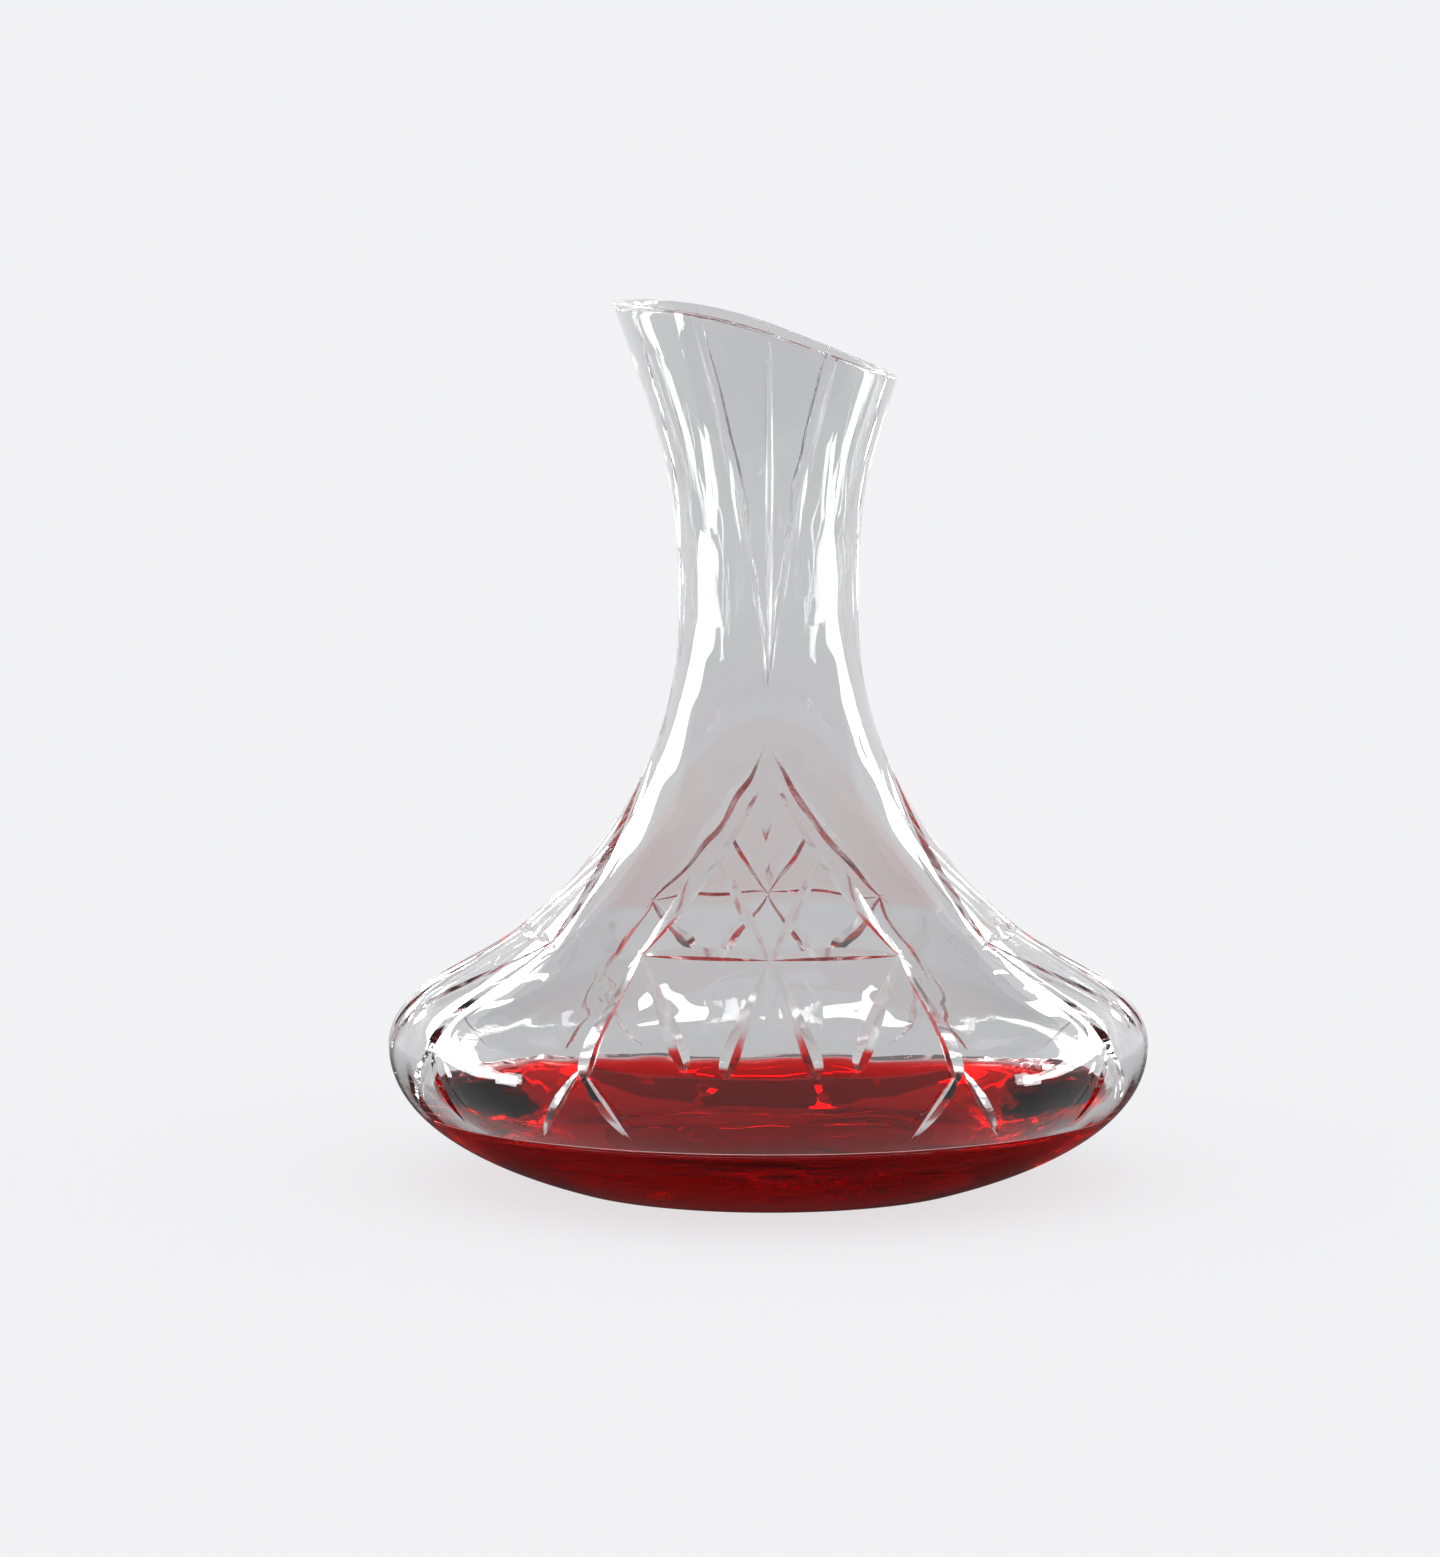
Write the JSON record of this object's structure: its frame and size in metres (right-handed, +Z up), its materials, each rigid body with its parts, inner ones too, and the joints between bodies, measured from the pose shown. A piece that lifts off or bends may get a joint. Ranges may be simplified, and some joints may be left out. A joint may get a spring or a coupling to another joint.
{
  "type": "wine decanter",
  "caption": "Cut-glass wine decanter with a low wide belly, long waisted neck and slanted flared mouth, holding red wine.",
  "frame": {"origin": "centre of the foot, on the surface that the decanter stands on", "axes": "+Z up along the axis of the neck, -X towards the tall side of the mouth, -Y towards the front, on the middle of a cut motif"},
  "size_m": [0.225, 0.225, 0.2595],
  "materials": {
    "clear_glass": "polished clear crystal glass with bright V-shaped mitre cuts",
    "wine": "clear deep red liquid with a smooth level surface"
  },
  "bodies": {
    "root": {"glass_body": "clear_glass", "red_wine": "wine"}
  },
  "joints": []
}
